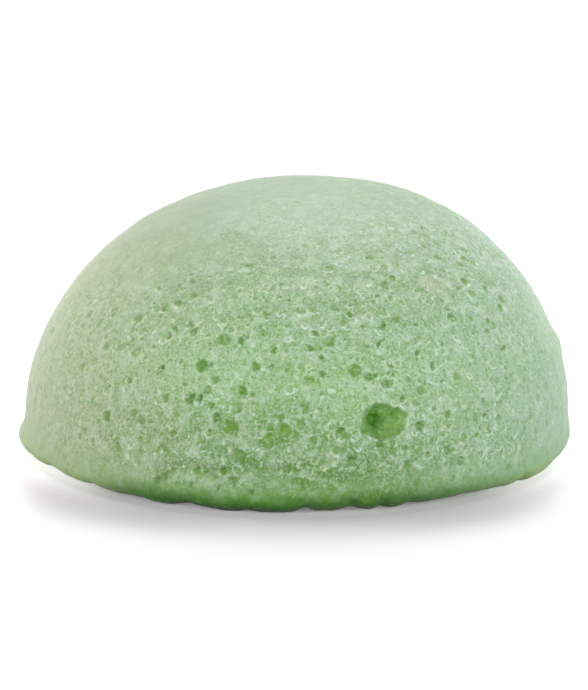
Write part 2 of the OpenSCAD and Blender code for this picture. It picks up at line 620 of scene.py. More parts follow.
@dataclass(frozen=True)
class GrainTint:
    """The fine mottle of the skin: haze, dark patches, pale grain, green flecks and grit, with the painted
    shade under the strewn bubbles' upper lips.
    """

    off_edge: Ramp = Ramp(0.6 * MM, 4.5 * MM)
    hazy: Patches = Patches(2.2 * MM, 2.0, Ramp(-0.05, 0.22))
    haze_share: float = 0.55
    haze_calm: float = 0.6
    lively_height: Ramp = Ramp(1.5 * MM, 7 * MM, 0.5, 1.0)
    dark: Patches = Patches(1.2 * MM, 2.0, Ramp(-0.02, -0.25, 0.0, 0.6))
    grain: Patches = Patches(0.34 * MM, 3.0, Ramp(-0.06, 0.16))
    grain_least: float = 0.01
    grain_more: float = 0.5
    flecks: Patches = Patches(0.42 * MM, 3.0, Ramp(-0.06, -0.2, 0.0, 0.85))
    grit: Patches = Patches(0.2 * MM, 1.0, Ramp(0.0, -0.2, 0.0, 0.35))
    painted_lip_shade: float = 0.75

    def colour(
        self, sheet: NodeSheet, skin: Skin, cell: object, pore: object, inside: object, shade: object
    ) -> Socket:
        """Lays the mottle, the strewn bubbles and their painted lip shade over the foam's colour.

        Args:
            sheet: The material's nodes.
            skin: What the material reads at the point.
            cell: The colour underneath.
            pore: The colour inside a pore.
            inside: How far the point is inside a strewn bubble, from 0 to 1.
            shade: How much painted shade lies under such a bubble's upper lip, from 0 to 1.

        Returns:
            The colour's output.
        """
        off_edge = sheet.ramp(skin.z, self.off_edge)
        hazy = sheet.times(sheet.patches(skin.place, self.hazy), skin.openness, off_edge)
        lively = sheet.times(skin.openness, sheet.fit(hazy, -self.haze_calm, 1.0))
        lively = sheet.times(lively, sheet.ramp(skin.z, self.lively_height))
        grain = sheet.fit(lively, self.grain_more, self.grain_least)
        grain = sheet.times(sheet.patches(skin.place, self.grain), grain, off_edge)
        return sheet.coated(
            cell,
            (sheet.times(hazy, self.haze_share), HAZE),
            (sheet.times(sheet.patches(skin.place, self.dark), skin.openness), pore),
            (grain, HAZE),
            (sheet.times(sheet.patches(skin.place, self.flecks), lively), pore),
            (inside, pore),
            # painted shade under the strewn bubbles' upper lips
            (sheet.times(shade, self.painted_lip_shade), DARK_GREEN_AND_SHADE),
            (sheet.times(sheet.patches(skin.place, self.grit), skin.openness), DARK_GREEN_AND_SHADE),
        )


@dataclass(frozen=True)
class HollowTint:
    """The insides and pale rings of the listed bubbles, the painted shade deep in them, and the faint warm
    spot on the right.
    """

    # painted shade: the darker green that fills the deepest part of a hole
    deepest: Colour = srgb(78, 142, 14)
    ring_depth: float = 0.1 * MM
    ring_fade: Ramp = Ramp(0.1 * MM, 0.0)
    ring_parts: Patches = Patches(1.1 * MM, 2.0, Ramp(-0.1, 0.15, 0.0, 0.4))
    ring_height: Ramp = Ramp(5 * MM, 9 * MM, 0.3, 1.0)
    low_pores: Ramp = Ramp(10 * MM, 6 * MM, 0.0, 0.7)
    spots: Patches = Patches(0.5 * MM, 2.0, Ramp(0.0, 0.2, 0.0, 0.45))
    speckle: Patches = Patches(0.8 * MM, 3.0, Ramp(-0.14, 0.12, 0.55, 0.95))
    wisp_cell: float = 0.9 * MM
    wisps: Ramp = Ramp(0.0, 0.12, 0.54, 0.96)
    wispy_depth: Ramp = Ramp(0.6 * MM, 1.1 * MM)
    faint_height: Ramp = Ramp(32 * MM, 24 * MM, 0.8, 1.0)
    uneven_cell: float = 0.8 * MM
    uneven: float = 0.9 * MM
    wall_depth: Ramp = Ramp(0.05 * MM, 0.6 * MM)
    deep_shade_patches: Patches = Patches(1.4 * MM, 3.0, Ramp(-0.02, 0.14, 0.0, 0.45))
    deep_shade_depth: Ramp = Ramp(0.8 * MM, 1.3 * MM)
    hole_shade_depth: Ramp = Ramp(1.6 * MM, 2.0 * MM)
    warm_place: tuple[float, float, float] = (0.0182, -0.0232, 0.0292)
    warm_reach: Ramp = Ramp(2.4 * MM, 0.0, 0.0, 0.5)

    def strength(self, sheet: NodeSheet, skin: Skin) -> Socket:
        """Finds how strong the colour inside a listed bubble is.

        Args:
            sheet: The material's nodes.
            skin: What the material reads at the point.

        Returns:
            The strength, from 0 to 1: speckled near the rim and wispy further in.
        """
        speckle = sheet.patches(skin.place, self.speckle)
        bent = BUBBLE_CROOK.bent(sheet, skin.place)
        wisps = sheet.math("ABSOLUTE", sheet.noise(bent, self.wisp_cell, 1.0))
        more = sheet.math("SUBTRACT", sheet.ramp(wisps, self.wisps), speckle)
        speckle = sheet.fit(sheet.ramp(skin.depth, self.wispy_depth), more, speckle)
        return sheet.times(speckle, sheet.ramp(skin.z, self.faint_height))

    def colour(self, sheet: NodeSheet, skin: Skin, webbed: object, pore: object) -> Socket:
        """Lays the listed bubbles, the painted shade deep in them and the warm spot over the foam's colour.

        Args:
            sheet: The material's nodes.
            skin: What the material reads at the point.
            webbed: The colour of the skin with its threads.
            pore: The colour inside a pore.

        Returns:
            The whole foam's colour.
        """
        ring = sheet.ramp(sheet.gap(skin.depth, self.ring_depth), self.ring_fade)
        ring = sheet.times(ring, sheet.patches(skin.place, self.ring_parts))
        ring = sheet.times(ring, sheet.ramp(skin.z, self.ring_height))
        low, spots = sheet.ramp(skin.z, self.low_pores), sheet.patches(skin.place, self.spots)
        pore = sheet.coated(pore, (low, CREASE), (spots, DARK_GREEN_AND_SHADE))
        depth = sheet.fit(sheet.noise(skin.place, self.uneven_cell, 3.0), self.uneven, skin.depth)
        hollow = sheet.times(sheet.ramp(depth, self.wall_depth), self.strength(sheet, skin))
        # painted shade: darker patches where a hollow is deep
        deep_shade_patches = sheet.times(sheet.patches(skin.place, self.deep_shade_patches), sheet.ramp(depth, self.deep_shade_depth))
        apart = sheet.measure("DISTANCE", skin.place, self.warm_place)
        return sheet.coated(
            webbed,
            (ring, WEB),
            (hollow, pore),
            (deep_shade_patches, DARK_GREEN_AND_SHADE),
            # painted shade deep in the holes
            (sheet.ramp(depth, self.hole_shade_depth), self.deepest),
            (sheet.ramp(apart, self.warm_reach), BEIGE),
        )


@dataclass(frozen=True)
class FoamFinish:
    """The look of damp konjac foam: pale wet webs, green cells and deep green pores."""

    strewn: StrewnBubbles = StrewnBubbles()
    threads: Threads = Threads()
    ground: GroundTint = GroundTint()
    edge: EdgeTint = EdgeTint()
    grain: GrainTint = GrainTint()
    hollows: HollowTint = HollowTint()
    warm_web: Colour = srgb(226, 240, 204)
    moss: Colour = srgb(136, 178, 76)
    mossy: Patches = Patches(2.6 * MM, 2.0, Ramp(-0.12, 0.12, 0.0, 0.6))
    roughness: float = 0.5
    see_into: float = 0.6
    see_into_colour: tuple[float, float, float] = (0.8, 1.3, 0.6)
    see_into_depth: float = 0.45 * MM
    gloss: float = 0.32
    fuzz: float = 0.15
    fuzz_roughness: float = 0.5
    thread_most: float = 0.62
    thread_loss: float = 0.55
    line_power: float = 1.6
    line_least: float = 0.05
    line_more: float = 0.95
    line_height: Ramp = Ramp(0.5 * MM, 5.0 * MM)
    line_share: float = 0.78
    clear_aside: Ramp = Ramp(36 * MM, 16 * MM, 0.55, 1.0)
    fold_parts: Patches = Patches(3 * MM, 2.0, Ramp(-0.15, 0.1))
    fold_streaks: Patches = Patches(0.8 * MM, 3.0, Ramp(-0.1, 0.14, 0.35, 1.0))
    groove_shade_share: float = 0.4
    ridge_highlight_share: float = 0.5
    warmth_slope: float = 4.0
    warmth_cell: float = 5 * MM
    less_warm: Ramp = Ramp(-0.13, 0.12)
    grain_cell: float = 0.35 * MM
    grain_rise: float = 0.04 * MM
    thread_rise: float = 0.05 * MM
    relief: float = 0.8

    def material(self, name: str) -> bpy.types.Material:
        """Makes the foam's material.

        Args:
            name: The material's name.

        Returns:
            The new material.
        """
        made = bpy.data.materials.new(name)
        made.use_nodes = True
        made.node_tree.nodes.clear()
        sheet = NodeSheet(made.node_tree)
        skin = self.skin(sheet)
        inside, shade, rim = self.strewn.marks(sheet, skin.place)
        outside = sheet.fit(inside, -self.thread_loss, self.thread_most)
        threads = sheet.times(self.threads.lines(sheet, skin.place), outside)
        open_share = sheet.math("POWER", skin.openness, self.line_power)
        line = sheet.fit(open_share, self.line_more, self.line_least)
        line = sheet.times(sheet.math("MAXIMUM", threads, rim), line)
        line = sheet.times(line, sheet.ramp(skin.z, self.line_height))
        clear = sheet.ramp(sheet.math("ABSOLUTE", skin.x), self.clear_aside)
        clear = sheet.times(skin.openness, clear)
        inside, shade = sheet.times(inside, clear), sheet.times(shade, clear)
        shader = sheet.add("ShaderNodeBsdfPrincipled", {
            "Base Color": self.colour(sheet, skin, inside, shade, line),
            "Roughness": self.roughness,
            "Subsurface Weight": self.see_into,
            "Subsurface Radius": self.see_into_colour,
            "Subsurface Scale": self.see_into_depth,
            "Specular IOR Level": self.gloss,
            "Sheen Weight": self.fuzz,
            "Sheen Roughness": self.fuzz_roughness,
            "Normal": self.bump(sheet, skin, line),
        })
        sheet.add("ShaderNodeOutputMaterial", {"Surface": shader.outputs[0]})
        return made

    def skin(self, sheet: NodeSheet) -> Skin:
        """Reads what the pitting stored on the mesh.

        Args:
            sheet: The material's nodes.

        Returns:
            The values at the point.
        """
        place, depth, openness, fold = (
            sheet.add("ShaderNodeAttribute", attribute_name=stored.value).outputs for stored in Stored
        )
        x, _, z = sheet.split(place["Vector"])
        return Skin(place["Vector"], x, z, depth["Fac"], openness["Fac"], fold["Fac"])

    def colour(
        self, sheet: NodeSheet, skin: Skin, inside: object, shade: object, line: object
    ) -> Socket:
        """Gives the foam's colour.

        Args:
            sheet: The material's nodes.
            skin: What the material reads at the point.
            inside: How far the point is inside a strewn bubble, from 0 to 1.
            shade: How much painted shade lies under such a bubble's upper lip, from 0 to 1.
            line: Where a thread or a rim is, from 0 to 1.

        Returns:
            The colour's output.
        """
        pore = sheet.coated(PORE, (sheet.patches(skin.place, self.mossy), self.moss))
        cell = self.edge.colour(sheet, skin, self.ground.colour(sheet, skin))
        cell = self.grain.colour(sheet, skin, cell, pore, inside, shade)
        parts = sheet.patches(skin.place, self.fold_parts)
        # painted shade darkens the fold's groove, and a painted highlight pales its ridge
        sunk = sheet.times(sheet.math("MULTIPLY", skin.fold, -self.groove_shade_share, clamp=True), parts)
        ridge_highlight = sheet.times(sheet.math("MULTIPLY", skin.fold, self.ridge_highlight_share, clamp=True), parts)
        ridge_highlight = sheet.times(ridge_highlight, sheet.patches(skin.place, self.fold_streaks))
        warmth = sheet.fit(skin.x, self.warmth_slope, sheet.noise(skin.place, self.warmth_cell))
        web = sheet.coated(self.warm_web, (sheet.ramp(warmth, self.less_warm), WEB))
        lined = sheet.times(line, self.line_share)
        webbed = sheet.coated(cell, (sunk, CREASE), (ridge_highlight, HAZE), (lined, web))
        return self.hollows.colour(sheet, skin, webbed, pore)

    def bump(self, sheet: NodeSheet, skin: Skin, line: object) -> Socket:
        """Raises the fine threads and the grain between them.

        Args:
            sheet: The material's nodes.
            skin: What the material reads at the point.
            line: Where a thread or a rim is, from 0 to 1.

        Returns:
            The normal's output.
        """
        grain = sheet.noise(skin.place, self.grain_cell, 3.0)
        height = sheet.fit(grain, self.grain_rise, sheet.times(line, self.thread_rise))
        feeds = {"Height": height, "Distance": 1.0, "Strength": self.relief}
        return sheet.add("ShaderNodeBump", feeds).outputs[0]


@dataclass(frozen=True)
class SkinForm:
    """How the soft skin strays from the even half ball.

    Attributes:
        dome_r: Radius of the dome at the brim line.
        brim_h: Height of the brim line.
        edge_swells: Swells along the bottom edge: the bearing and the width in degrees, then how
            far each stands out, in millimetres.
    """

    dome_r: float
    brim_h: float
    line_front_rise: float = 1.6 * MM
    line_left_dip: float = 2.8 * MM
    line_cell: float = 9 * MM
    line_wander: float = 3.0 * MM
    ahead: Ramp = Ramp(0.45, 0.9)
    brim: Ramp = Ramp(0.5 * MM, -0.6 * MM)
    front_lip: float = 0.35 * MM
    left_lip: float = 0.6 * MM
    left_lip_power: float = 8.0
    crease_from: Ramp = Ramp(-28 * MM, -18 * MM)
    crease_to: Ramp = Ramp(12 * MM, -2 * MM)
    groove: Hump = (0.0, 0.45 * MM)
    groove_in: float = 0.15 * MM
    ridge: Hump = (1.6 * MM, 1.1 * MM)
    ridge_out: float = 0.3 * MM
    streak: Hump = (-1.5 * MM, 0.8 * MM)
    streak_left: Ramp = Ramp(-3 * MM, -10 * MM, 0.0, 0.7)
    ledge: Hump = (14.8 * MM, 1.5 * MM)
    ledge_right: Ramp = Ramp(34 * MM, 37.5 * MM, 0.0, 0.4 * MM)
    slow_cell: float = 30 * MM
    slow_out: float = 1.2 * MM
    lump_cell: float = 7 * MM
    lump_out: float = 0.5 * MM
    edge_height: Ramp = Ramp(3.4 * MM, 0.8 * MM)
    lobe_cell: float = 6 * MM
    lobe_level: float = 0.1
    lobe_out: float = 1.0 * MM
    lobe_least: float = 0.35
    lobe_more: float = 0.65
    left_out: float = 0.2 * MM
    left_in: float = 0.25 * MM
    right_in: float = 0.45 * MM
    edge_swells: tuple[tuple[float, float, float], ...] = (
        (-62.6, 2.2, -0.2), (-47.1, 2.2, -0.3), (-22.5, 2.4, -0.2), (-9.9, 2.5, -0.4), (1.9, 1.6, -0.5),
        (11.2, 2.0, -0.5), (17.6, 1.5, -0.4), (23.2, 2.0, -0.5), (53.4, 2.2, -0.4), (-34, 16, -0.25),
        (33, 11, -0.2), (-11, 5, 0.6), (57, 12, 0.65), (-60, 8, -0.2),
    )

    def strays(self, sheet: NodeSheet, point: object) -> tuple[Socket, Socket]:
        """Finds how far the skin stands out of its even form, before it is pitted.

        Args:
            sheet: The nodes of the pitting.
            point: The point on the even form.

        Returns:
            The distance along the normal, in metres, and the fold over the brim, from -1 in its
            groove to 1 on its ridge.
        """
        x, y, z = sheet.split(point)
        ahead = sheet.ramp(sheet.math("DIVIDE", y, -self.dome_r), self.ahead)
        left = sheet.math("DIVIDE", x, -self.dome_r, clamp=True)
        above = self.above_line(sheet, point, left)
        folded, fold = self.folded(sheet, x, above, ahead)
        lip = sheet.times(sheet.math("POWER", left, self.left_lip_power), self.left_lip)
        lip = sheet.times(sheet.ramp(above, self.brim), sheet.fit(ahead, self.front_lip, lip))
        ledge = sheet.times(sheet.bell(z, self.ledge), sheet.ramp(x, self.ledge_right))
        slow = sheet.times(sheet.noise(point, self.slow_cell, 1.0), self.slow_out)
        lumps = sheet.times(sheet.noise(point, self.lump_cell), self.lump_out)
        edge = self.scalloped(sheet, point, ahead, left)
        return sheet.total(lip, folded, ledge, slow, lumps, edge), fold

    def above_line(self, sheet: NodeSheet, point: object, left: object) -> Socket:
        """Measures how far a point is above the wandering brim line.

        Args:
            sheet: The nodes of the pitting.
            point: The point on the even form.
            left: How far to the left it is, from 0 to 1.

        Returns:
            The height over the line, in metres.
        """
        x, y, z = sheet.split(point)
        front = sheet.math("DIVIDE", y, -self.dome_r)
        line = sheet.fit(front, self.line_front_rise, self.brim_h)
        line = sheet.fit(sheet.times(left, left), -self.line_left_dip, line)
        wander = sheet.noise(sheet.join(x, y, 0.0), self.line_cell)
        return sheet.math("SUBTRACT", z, sheet.fit(wander, self.line_wander, line))

    def folded(self, sheet: NodeSheet, x: object, above: object, ahead: object) -> tuple[Socket, Socket]:
        """Finds the fold that runs over the brim in front.

        Args:
            sheet: The nodes of the pitting.
            x: How far the point is to the right of the middle.
            above: How far it is above the brim line.
            ahead: How far it is in front, from 0 to 1.

        Returns:
            How far the fold stands out, in metres, and the fold's own level, from -1 to 1.
        """
        crease = sheet.times(ahead, sheet.ramp(x, self.crease_from), sheet.ramp(x, self.crease_to))
        groove, ridge = sheet.bell(above, self.groove), sheet.bell(above, self.ridge)
        streak = sheet.times(sheet.bell(above, self.streak), sheet.ramp(x, self.streak_left))
        level = sheet.math("SUBTRACT", sheet.total(streak, ridge), groove)
        out = sheet.fit(ridge, self.ridge_out, sheet.times(groove, -self.groove_in))
        return sheet.times(out, crease), sheet.times(level, crease)

    def scalloped(self, sheet: NodeSheet, point: object, ahead: object, left: object) -> Socket:
        """Finds how far the scalloped bottom edge and the two sides stand out.

        Args:
            sheet: The nodes of the pitting.
            point: The point on the even form.
            ahead: How far it is in front, from 0 to 1.
            left: How far to the left it is, from 0 to 1.

        Returns:
            The distance along the normal, in metres.
        """
        x, y, z = sheet.split(point)
        right = sheet.math("DIVIDE", x, self.dome_r, clamp=True)
        left_most, right_most = sheet.times(left, left), sheet.times(right, right)
        lobes = sheet.noise(sheet.join(x, y, 0.0), self.lobe_cell)
        scallop = sheet.times(sheet.math("SUBTRACT", lobes, self.lobe_level), self.lobe_out)
        scallop = sheet.times(scallop, sheet.fit(ahead, self.lobe_more, self.lobe_least))
        scallop = sheet.fit(left_most, self.left_out, scallop)
        bearing = sheet.math("DEGREES", sheet.math("ARCTAN2", x, sheet.times(y, -1.0)))
        for middle, width, swell in self.edge_swells:
            scallop = sheet.fit(sheet.bell(bearing, (middle, width)), swell * MM, scallop)
        sides = sheet.fit(left_most, -self.left_in, sheet.times(right_most, -self.right_in))
        return sheet.fit(sheet.ramp(z, self.edge_height), scallop, sides)


@dataclass(frozen=True)
class SkinOpenness:
    """How open the skin's cells are: most at front and back, least on the crown and the brim."""

    wander_cell: float = 9 * MM
    wander: float = 6 * MM
    lower_right: float = 0.1
    left_from: float = -8 * MM
    lower_left: float = 0.25
    crown: Ramp = Ramp(42 * MM, 27 * MM, 0.08, 1.0)
    brim: Ramp = Ramp(3.0 * MM, 7.0 * MM, 0.6, 1.0)
    aside: Ramp = Ramp(40 * MM, 28 * MM, 0.5, 1.0)

    def share(self, sheet: NodeSheet, place: object) -> Socket:
        """Finds how open the cells are.

        Args:
            sheet: The nodes of the pitting.
            place: The point on the even form.

        Returns:
            The openness, from 0 to 1.
        """
        x, _, z = sheet.split(place)
        high = sheet.fit(sheet.noise(place, self.wander_cell), self.wander, z)
        to_left = sheet.math("MAXIMUM", sheet.math("SUBTRACT", self.left_from, x), 0.0)
        crossed = sheet.fit(to_left, self.lower_left, sheet.fit(x, -self.lower_right, high))
        aside = sheet.ramp(sheet.math("ABSOLUTE", x), self.aside)
        return sheet.times(sheet.ramp(crossed, self.crown), sheet.ramp(high, self.brim), aside)


@dataclass
class Sponge:
    """The whole casting: core, dome skin and base skin as one soft foam piece.

    Attributes:
        dome_r: Radius of the dome at the brim line.
        crown_h: Height of the crown.
        brim_r: Radius of the rolled brim.
        brim_h: Height of the brim line.
        front_places_and_shares: Bubbles on the front: bearing and rise in degrees, then the share
            of front_bubble_r.
        pit_places_and_shares: Hollows of the big bubble: bearing, rise and the share of pit_r.
        hole_places: Bearing and rise of the deep holes in the big bubble.
        brim_bubbles: Bearing in degrees, then height and radius in millimetres.
    """

    dome_r: float
    crown_h: float
    brim_r: float
    brim_h: float
    flank_power: float = 2.2
    crown_power: float = 1.95
    crown_swell: float = 0.2 * MM
    edge_tuck: float = 3.4 * MM
    edge_rise: float = 2.3 * MM
    ring_points: int = 256
    dome_steps: int = 30
    edge_steps: int = 6
    weld_gap: float = 1e-6
    cell_size: float = 0.22 * MM
    lean: float = 0.028
    crown_lean: float = 0.8 * MM
    crown_lean_power: float = 6.0
    finish: FoamFinish = FoamFinish()
    openness: SkinOpenness = SkinOpenness()
    strewn_ahead: Ramp = Ramp(32 * MM, 12 * MM, 0.15, 0.9)
    strewn_height: Ramp = Ramp(35 * MM, 22 * MM)
    depth_blurs: int = 2
    strewn_blurs: int = 1
    front_bubble_r: float = 1.2 * MM
    front_flatness: float = 0.6
    soft_flatness: float = 0.3
    soft_rise: float = 37.0
    front_places_and_shares: tuple[tuple[float, float, float], ...] = (
        (-18, 53, 0.8), (-25, 43, 0.7), (-18.4, 33.2, 0.9), (-22, 26.4, 0.9), (-28, 36, 0.6),
        (-29, 18, 0.65), (-20, 21, 0.6), (-12, 21, 0.7), (-13, 17, 0.7), (-14, 12.5, 0.95),
        (-3, 12, 0.9), (-6, 9, 0.7), (-12, 5.5, 1), (-20, 9, 0.7), (-34, 12, 0.7),
        (-43, 11, 0.7), (-5, 40, 0.6), (-13, 48, 0.5), (0, 41, 0.8), (-10, 27, 0.65),
        (21, 40, 0.8), (8.5, 41, 0.7), (19, 22.5, 0.8), (26.5, 20, 0.65), (36, 22, 0.6),
        (2, 24, 0.7), (1.4, 17.6, 0.8), (0.5, 13.5, 0.6), (3, 9.5, 0.6), (12, 26, 0.9),
        (19, 48, 0.6), (6.5, 33, 0.8), (8.5, 7, 0.6), (-19, 44, 0.6),
    )
    pit_r: float = 2.1 * MM
    pit_flatness: float = 0.65
    pit_places_and_shares: tuple[tuple[float, float, float], ...] = (
        (17.4, 14.1, 1.1), (15.6, 15.0, 0.85), (19.9, 13.5, 0.9), (17.0, 12.0, 0.85),
        (19.2, 12.3, 0.75), (14.3, 12.8, 0.65), (21.0, 13.9, 0.65),
    )
    hole_r: float = 1.1 * MM
    hole_sink: float = 1.9 * MM
    hole_flatness: float = 0.35
    hole_places: tuple[tuple[float, float], ...] = ((15.1, 14.1), (16.4, 13.9))
    brim_bubble_sink: float = 0.4 * MM
    brim_flatness: float = 0.8
    brim_bubbles: tuple[tuple[float, float, float], ...] = (
        (-17.4, 7.8, 0.7), (-11.0, 7.2, 0.65), (-18.8, 6.0, 0.6), (-12.7, 4.8, 0.6),
        (-13.6, 4.9, 0.45), (-21.5, 3.7, 0.5), (-22.9, 3.8, 0.4), (-15.5, 3.5, 0.5),
        (-8.9, 3.2, 0.5), (-14.3, 9.8, 0.8), (-27.0, 4.6, 0.65), (-25.5, 5.3, 0.6),
        (-28.7, 3.9, 0.6), (-24.2, 5.8, 0.45), (1.2, 4.1, 0.6), (4.0, 5.7, 0.5),
    )
    map_side: float = 0.180
    map_dome_r: float = 0.063
    map_margin: float = 0.002
    map_least_r: float = 1e-6
    underside_h: float = 0.02 * MM

    def seat(self, bearing: float, rise: float, sink: float = 0.0) -> Vector:
        """Gives a point on the dome.

        Args:
            bearing: Degrees from the front towards +X.
            rise: Degrees along the dome's outline, from the brim line at 0 to the crown at 90.
            sink: How far the point lies under the surface.

        Returns:
            The point, in metres.
        """
        turn, lift = math.radians(bearing), math.radians(rise)
        out = (self.dome_r - sink) * math.cos(lift) ** (2 / self.flank_power)
        crown = self.crown_h + self.crown_swell - self.brim_h - sink
        up = crown * math.sin(lift) ** (2 / self.crown_power)
        return Vector((out * math.sin(turn), -out * math.cos(turn), self.brim_h + up))

    def outline(self) -> list[tuple[float, float]]:
        """Traces the sponge's side from its bottom edge almost to its crown.

        Returns:
            The radius and the height of each ring.
        """
        points = []
        for step in range(self.edge_steps + 1):
            turn = math.radians(90 * step / self.edge_steps)
            out = self.brim_r - self.edge_tuck * (1 - math.sin(turn))
            points.append((out, self.edge_rise * (1 - math.cos(turn))))
        for step in range(self.dome_steps):
            point = self.seat(0, 90 * step / self.dome_steps)
            points.append((-point.y, point.z))
        return points

    def casting(self) -> bpy.types.Object:
        """Models the smooth casting: a disc drawn up ring by ring to the crown.

        Returns:
            The closed mesh, as it left the mould.
        """
        rings = self.outline()
        bpy.ops.object.select_all(action="DESELECT")
        bpy.ops.mesh.primitive_circle_add(
            vertices=self.ring_points, radius=rings[0][0], fill_type="NGON", location=(0, 0, 0)
        )
        made = bpy.context.object
        bpy.ops.object.mode_set(mode="EDIT")
        bpy.ops.mesh.select_all(action="SELECT")
        for (old_r, old_h), (new_r, new_h) in zip(rings, rings[1:]):
            bpy.ops.mesh.extrude_region_move(TRANSFORM_OT_translate={"value": (0, 0, new_h - old_h)})
            size = new_r / old_r
            bpy.ops.transform.resize(value=(size, size, 1), center_override=(0, 0, new_h))
        bpy.ops.mesh.poke()
        bpy.ops.mesh.select_all(action="SELECT")
        bpy.ops.mesh.remove_doubles(threshold=self.weld_gap)
        bpy.ops.mesh.normals_make_consistent(inside=False)
        bpy.ops.object.mode_set(mode="OBJECT")
        made.name = made.data.name = "sponge_foam"
        crown = max(made.data.vertices, key=lambda vertex: vertex.co.z)
        crown.co.z = self.crown_h + self.crown_swell
        return made

    def fill_with_cells(self, piece: bpy.types.Object) -> None:
        """Gives the casting an even, dense mesh that can carry its pores.

        Args:
            piece: The casting.
        """
        grid = piece.modifiers.new("even_mesh", "REMESH")
        grid.mode = "VOXEL"
        grid.voxel_size = self.cell_size
        grid.use_smooth_shade = True
        self.apply(piece, grid)

    def apply(self, piece: bpy.types.Object, modifier: bpy.types.Modifier) -> None:
        """Applies a modifier.

        Args:
            piece: The piece that has it.
            modifier: The modifier.
        """
        bpy.ops.object.select_all(action="DESELECT")
        piece.select_set(True)
        bpy.context.view_layer.objects.active = piece
        bpy.ops.object.modifier_apply(modifier=modifier.name)

    def carve(
        self, sheet: NodeSheet, point: object, inward: object, centre: Vector, radius: float, flatness: float
    ) -> Socket:
        """Pushes a point that lies in a bubble towards the bubble's far wall.

        Args:
            sheet: The nodes of the pitting.
            point: The point on the surface so far.
            inward: The way into the foam there, of unit length.
            centre: The bubble's middle.
            radius: The bubble's radius.
            flatness: The share of the way to the far wall that the point goes.

        Returns:
            The point after the bubble has burst.
        """
        to_middle = sheet.vector("SUBTRACT", centre, point)
        ahead = sheet.measure("DOT_PRODUCT", to_middle, inward)
        apart = sheet.measure("DOT_PRODUCT", to_middle, to_middle)
        aside = sheet.math("SUBTRACT", apart, sheet.times(ahead, ahead))
        reach = sheet.times(radius, radius)
        left = sheet.math("MAXIMUM", sheet.math("SUBTRACT", reach, aside), 0.0)
        inside = sheet.math("LESS_THAN", apart, reach)
        travel = sheet.times(sheet.total(ahead, sheet.math("SQRT", left)), inside, flatness)
        return sheet.vector("ADD", point, sheet.scaled(inward, travel))

    def bubbles(self) -> list[tuple[Vector, float, float]]:
        """Lists the burst bubbles that have their own places.

        Returns:
            Each bubble's middle, radius and flatness.
        """
        listed = []
        for bearing, rise, share in self.pit_places_and_shares:
            listed.append((self.seat(bearing, rise), share * self.pit_r, self.pit_flatness))
        for place in self.hole_places:
            listed.append((self.seat(*place, self.hole_sink), self.hole_r, self.hole_flatness))
        for bearing, rise, share in self.front_places_and_shares:
            flatness = self.soft_flatness if rise > self.soft_rise else self.front_flatness
            listed.append((self.seat(bearing, rise), share * self.front_bubble_r, flatness))
        out = self.brim_r - self.brim_bubble_sink
        for bearing, height, radius in self.brim_bubbles:
            turn = math.radians(bearing)
            middle = Vector((out * math.sin(turn), -out * math.cos(turn), height * MM))
            listed.append((middle, radius * MM, self.brim_flatness))
        return listed

    def listed_depth(self, sheet: NodeSheet, start: object, inward: object) -> Socket:
        """Bursts the listed bubbles one after the other.

        Args:
            sheet: The nodes of the pitting.
            start: The point on the even form, a little crooked.
            inward: The way into the foam there, of unit length.

        Returns:
            How deep they leave the point, in metres.
        """
        point = start
        for middle, radius, flatness in self.bubbles():
            point = self.carve(sheet, point, inward, middle, radius, flatness)
        depth = sheet.measure("DOT_PRODUCT", sheet.vector("SUBTRACT", point, start), inward)
        return self.blurred(sheet, depth, self.depth_blurs)

    def strewn_depth(self, sheet: NodeSheet, place: object, crooked: object, rough: object) -> Socket:
        """Bursts the strewn bubbles, deepest in the middle of the front and the back.

        Args:
            sheet: The nodes of the pitting.
            place: The point on the even form.
            crooked: The same point, a little crooked.
            rough: How open the cells are there, from 0 to 1.

        Returns:
            How deep they leave the point, in metres.
        """
        strewn = 0.0
        for layer in LAYERS:
            strewn = sheet.math("MAXIMUM", strewn, layer.hollow(sheet, crooked))
        x, _, z = sheet.split(place)
        ahead = sheet.ramp(sheet.math("ABSOLUTE", x), self.strewn_ahead)
        sunk = sheet.times(rough, sheet.ramp(z, self.strewn_height), ahead)
        return sheet.times(self.blurred(sheet, strewn, self.strewn_blurs), sunk)

    def leant(self, sheet: NodeSheet, place: object, moved: object) -> Socket:
        """Leans the sponge a little to the right and keeps it on the floor.

        Args:
            sheet: The nodes of the pitting.
            place: The point on the even form.
            moved: The point on the pitted skin.

        Returns:
            The point at its last place.
        """
        z = sheet.split(place)[2]
        crown = sheet.math("POWER", sheet.math("DIVIDE", z, self.crown_h), self.crown_lean_power)
        aside = sheet.fit(z, self.lean, sheet.times(crown, self.crown_lean))
        across, deep, high = sheet.split(sheet.vector("ADD", moved, sheet.join(aside, 0.0, 0.0)))
        return sheet.join(across, deep, sheet.math("MAXIMUM", high, 0.0))

